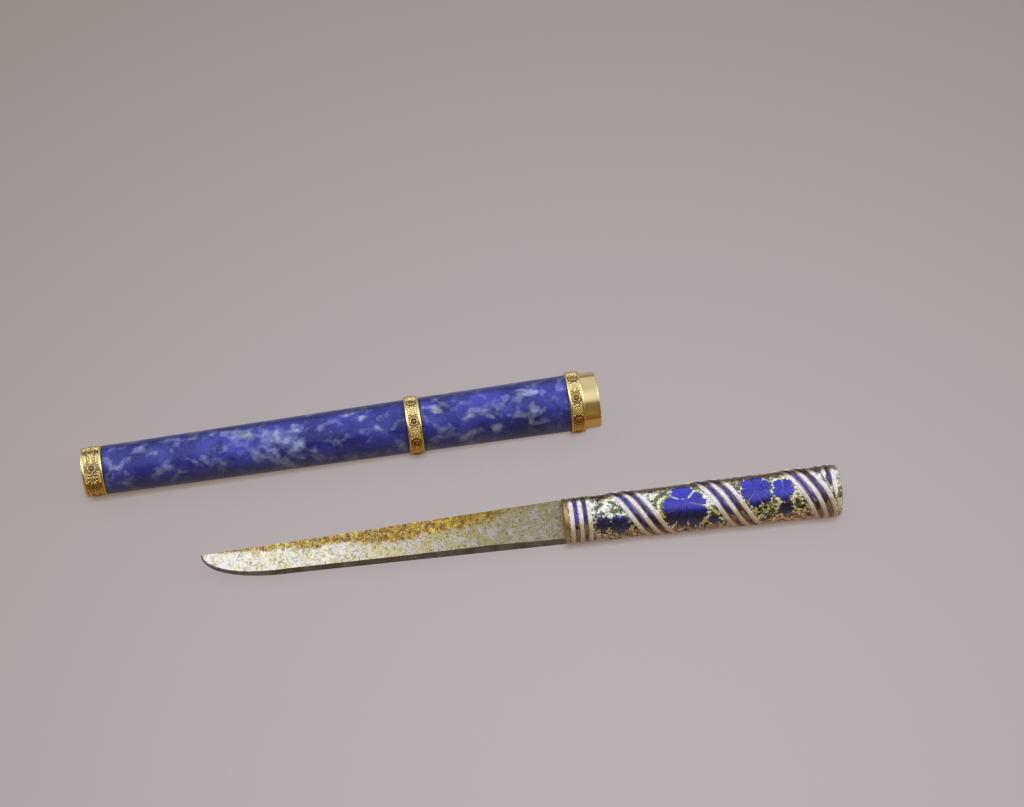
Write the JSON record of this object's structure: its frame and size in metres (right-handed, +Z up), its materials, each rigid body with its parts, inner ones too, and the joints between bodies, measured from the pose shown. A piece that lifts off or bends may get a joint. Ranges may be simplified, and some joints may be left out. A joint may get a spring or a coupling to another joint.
{
  "type": "sheathed fruit knife",
  "caption": "Table fruit knife with a round glass handle wound with raised glass threads, lying beside its round stone-covered sheath with gilt bands.",
  "frame": {"origin": "middle of the box round the sheath and the knife, at the height of the table", "axes": "+X along the table from the sheath's closed end towards its mouth and the knife's butt, +Y from the knife towards the sheath, +Z up"},
  "size_m": [0.252, 0.0663, 0.0218],
  "materials": {
    "liner_brass": "plain drawn sheet",
    "lapis": "polished, with pale flecks and grey-green patches",
    "gilt_metal": "gilded, chased, slightly dulled in the hollows",
    "brown_enamel": "opaque enamel, worn",
    "blade_steel": "polished, with yellow-brown tarnish along the spine",
    "ferrule_gilt": "worn gilding",
    "resin_cement": "dull pitch and resin",
    "pale_glass": "milky glass with a silvery gold ground, glossy",
    "white_glass": "opaque white thread, glossy",
    "violet_blue_glass": "opaque thread, glossy",
    "dark_brown_glass": "opaque thread, glossy",
    "blue_glass": "opaque blossoms, glossy",
    "violet_glass": "opaque blossoms, glossy",
    "green_glass": "opaque leaves, glossy",
    "gold_flecked_glass": "leaves with gold flecks"
  },
  "bodies": {
    "sheath": {"sheath_liner": "liner_brass", "liner_end_disc": "liner_brass", "tip_sleeve": "lapis", "long_sleeve": "lapis", "throat_sleeve": "lapis", "end_cap": "gilt_metal", "end_cap_rosettes": "gilt_metal", "end_cap_enamel": "brown_enamel", "middle_band": "gilt_metal", "middle_band_rosettes": "gilt_metal", "middle_band_enamel": "brown_enamel", "throat_band": "gilt_metal", "throat_band_rosettes": "gilt_metal", "throat_band_enamel": "brown_enamel", "mouth_collar": "gilt_metal"},
    "knife": {"blade": "blade_steel", "ferrule": "ferrule_gilt", "tang_cement": "resin_cement", "handle_glass": "pale_glass", "white_threads": "white_glass", "blue_thread": "violet_blue_glass", "brown_thread": "dark_brown_glass", "blue_blossoms": "blue_glass", "violet_blossoms": "violet_glass", "green_leaves": "green_glass", "gilt_leaves": "gold_flecked_glass"}
  },
  "joints": [
    {"name": "knife_draw", "type": "slide", "parent": "sheath", "child": "knife", "axis": [1, 0, 0], "range_m": [-0.0166, 0.1407]}
  ]
}
